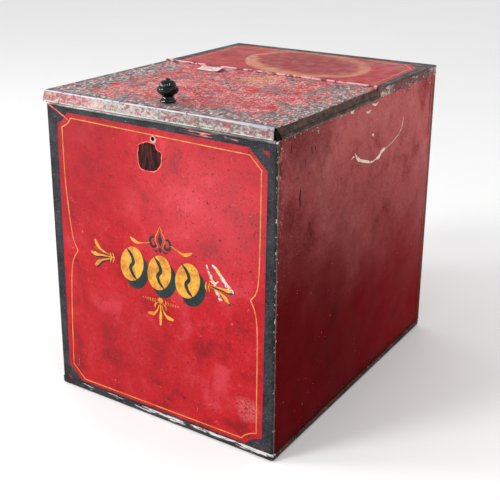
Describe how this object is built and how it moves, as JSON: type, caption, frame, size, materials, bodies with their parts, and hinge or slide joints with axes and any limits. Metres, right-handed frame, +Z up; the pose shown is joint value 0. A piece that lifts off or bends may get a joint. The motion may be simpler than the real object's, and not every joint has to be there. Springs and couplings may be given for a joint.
{
  "type": "hinged-lid counter bin",
  "caption": "Tall painted sheet-tin storage bin with a fixed rear top and a wire-hinged front lid with a turned knob.",
  "frame": {"origin": "middle of the base pan's underside", "axes": "+Z up, front panel faces -Y, +X to the viewer's right"},
  "size_m": [0.3644, 0.4624, 0.462],
  "materials": {
    "red_paint": "semi-gloss red paint, worn",
    "worn_red_paint": "red paint worn through to tin",
    "black_paint": "semi-gloss black paint",
    "yellow_paint": "thin striping paint",
    "green_paint": "dark green shading paint",
    "bare_tin": "dull tinplate",
    "steel_wire": "drawn wire",
    "solder": "dull solder",
    "knob_black": "gloss black enamel"
  },
  "bodies": {
    "bin": {"front_panel": "red_paint", "left_side_panel": "red_paint", "right_side_panel": "red_paint", "back_panel": "red_paint", "base_pan": "black_paint", "rear_top": "red_paint", "front_collar": "bare_tin", "left_collar": "bare_tin", "right_collar": "bare_tin", "rim_wire": "steel_wire", "seam_solder": "solder", "base_solder": "solder", "hinge_wire": "steel_wire", "left_hinge_strap": "worn_red_paint", "right_hinge_strap": "worn_red_paint"},
    "lid": {"lid_pan": "worn_red_paint", "knob": "knob_black", "knob_washer": "bare_tin", "knob_screw": "steel_wire"}
  },
  "joints": [
    {"name": "lid_hinge", "type": "hinge", "parent": "bin", "child": "lid", "pos_m": [0, 0.0275, 0.4329], "axis": [-1, 0, 0], "range_deg": [0, 180]}
  ]
}
